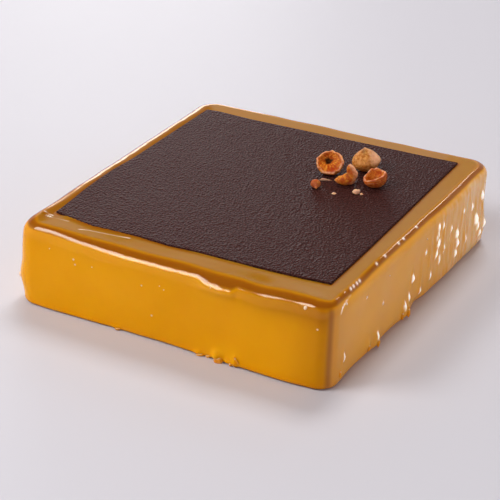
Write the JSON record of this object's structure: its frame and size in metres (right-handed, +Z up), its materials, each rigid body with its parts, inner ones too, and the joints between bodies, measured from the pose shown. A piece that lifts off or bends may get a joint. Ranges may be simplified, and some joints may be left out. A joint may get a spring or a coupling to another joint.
{
  "type": "square glazed entremet",
  "caption": "Low square mousse cake under a smooth amber mirror glaze, topped with a thin grained chocolate sheet and a small group of roasted hazelnuts.",
  "frame": {"origin": "on the table, under the middle of the cake", "axes": "+Z up; -Y is the near front side of the picture, +X its right side; the nuts lie towards +X +Y"},
  "size_m": [0.1627, 0.1628, 0.0512],
  "materials": {
    "caramel_glaze": "wet mirror glaze, poured",
    "dark_chocolate": "fine leather grain, satin",
    "roasted_nut": "dry roasted, slightly rough"
  },
  "bodies": {
    "root": {"glazed_cake": "caramel_glaze", "chocolate_sheet": "dark_chocolate", "hazelnut_whole": "roasted_nut", "hazelnut_half": "roasted_nut", "hazelnut_cupped": "roasted_nut", "hazelnut_split": "roasted_nut", "hazelnut_bit": "roasted_nut"}
  },
  "joints": []
}
